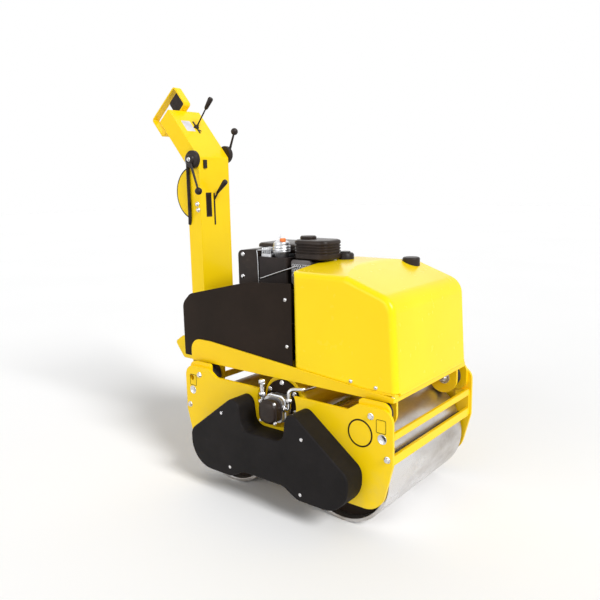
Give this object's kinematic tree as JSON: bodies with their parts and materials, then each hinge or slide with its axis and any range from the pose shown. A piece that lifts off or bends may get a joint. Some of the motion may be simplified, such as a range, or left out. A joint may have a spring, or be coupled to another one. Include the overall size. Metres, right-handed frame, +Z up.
{
  "type": "walk-behind double-drum vibratory roller",
  "caption": "Walk-behind vibratory roller with two steel drums between side plates, rubber-mounted deck with engine and water tank, and a fold-down control handle.",
  "frame": {"origin": "middle of the footprint box, on the ground", "axes": "+X forward, towards the water tank; +Y to the machine's left; +Z up; drum axes along Y"},
  "size_m": [1.5728, 0.796, 1.7424],
  "materials": {
    "yellow_paint": "gloss",
    "yellow_plastic": "gloss",
    "black_paint": "satin",
    "black_case": "matte",
    "engine_black": "satin",
    "black_plastic": "matte",
    "black_rubber": "matte",
    "mount_rubber": "matte",
    "dark_steel": "worn",
    "drum_steel": "ground bright",
    "bare_aluminium": "cast",
    "plated_steel": "zinc plated"
  },
  "bodies": {
    "chassis": {"side_plate_right": "yellow_paint", "side_plate_left": "yellow_paint", "exciter_housing": "yellow_paint", "mount_brackets": "yellow_paint", "rubber_mounts": "mount_rubber", "front_guard": "yellow_paint", "rear_guard": "yellow_paint", "scrapers": "dark_steel", "bearing_hubs": "black_paint", "drive_case": "black_case", "exciter_flange": "black_paint", "vibration_motor": "bare_aluminium", "motor_cap": "black_paint", "motor_fittings": "plated_steel", "deck_frame": "yellow_paint", "rear_bracket": "yellow_paint", "handle_pivot": "plated_steel", "water_tank": "yellow_plastic", "tank_caps": "black_plastic", "side_panel_right": "black_paint", "side_panel_left": "black_paint", "hydraulic_tank": "black_plastic", "engine_block": "engine_black", "engine_cowl": "engine_black", "engine_cylinder": "bare_aluminium", "fuel_tank": "black_plastic", "fuel_filter": "bare_aluminium", "air_filter": "black_plastic", "silencer": "dark_steel", "silencer_bracket": "dark_steel", "recoil_starter": "engine_black", "hydraulic_pump": "engine_black"},
    "front_drum": {"front_drum_shell": "drum_steel", "front_drum_axle": "black_paint"},
    "rear_drum": {"rear_drum_shell": "drum_steel", "rear_drum_axle": "black_paint"},
    "handle": {"handle_column": "yellow_paint", "grip_loop": "yellow_paint", "loop_pad": "black_rubber", "speed_lever": "black_paint", "throttle_lever": "black_plastic", "brake_lever": "black_plastic", "choke_lever": "black_plastic", "control_plates": "black_plastic", "cable_guard": "yellow_paint"}
  },
  "joints": [
    {"name": "front_drum_spin", "type": "hinge", "parent": "chassis", "child": "front_drum", "pos_m": [0.54394, 0.032, 0.2125], "axis": [0, 1, 0], "continuous": true},
    {"name": "rear_drum_spin", "type": "hinge", "parent": "chassis", "child": "rear_drum", "pos_m": [-0.03106, 0.032, 0.2125], "axis": [0, 1, 0], "continuous": true},
    {"name": "handle_fold", "type": "hinge", "parent": "chassis", "child": "handle", "pos_m": [-0.42756, 0.032, 0.5], "axis": [0, -1, 0], "range_deg": [0, 55]}
  ],
  "couplings": [
    {"joint": "rear_drum_spin", "follows": "front_drum_spin", "ratio": 1}
  ]
}
